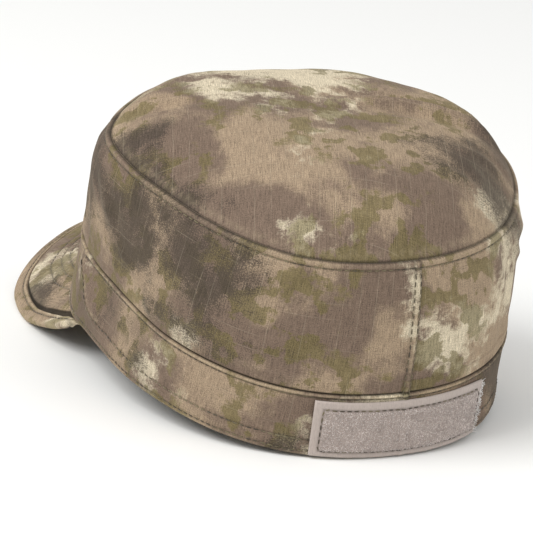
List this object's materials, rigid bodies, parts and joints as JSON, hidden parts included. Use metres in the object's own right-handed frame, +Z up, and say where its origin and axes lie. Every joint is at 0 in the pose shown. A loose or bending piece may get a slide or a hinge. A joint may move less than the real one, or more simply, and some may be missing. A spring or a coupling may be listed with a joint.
{
  "type": "patrol cap",
  "caption": "Soft cloth patrol cap with a domed top, tall side, sewn band, arched stiff peak and a loop panel for a name tape.",
  "frame": {"origin": "on the surface that the cap rests on, under the middle of the whole cap's box", "axes": "+Z up from the surface, -Y towards the peak, +Y towards the back of the head, +X towards the wearer's left; the cap is tipped back 8.2 degrees, as its peak props it up"},
  "size_m": [0.1718, 0.27, 0.1212],
  "materials": {
    "camouflage_cloth": "matt printed ripstop cotton twill",
    "loop_pile": "fuzzy nylon loop pile in a woven border",
    "sewing_thread": "dull dark olive polyester sewing thread, seen as the rows of stitches on the cloth pieces"
  },
  "bodies": {
    "root": {"crown_top": "camouflage_cloth", "crown_side": "camouflage_cloth", "band": "camouflage_cloth", "peak": "camouflage_cloth", "peak_edge_strip": "camouflage_cloth", "name_panel": "loop_pile"}
  },
  "joints": []
}
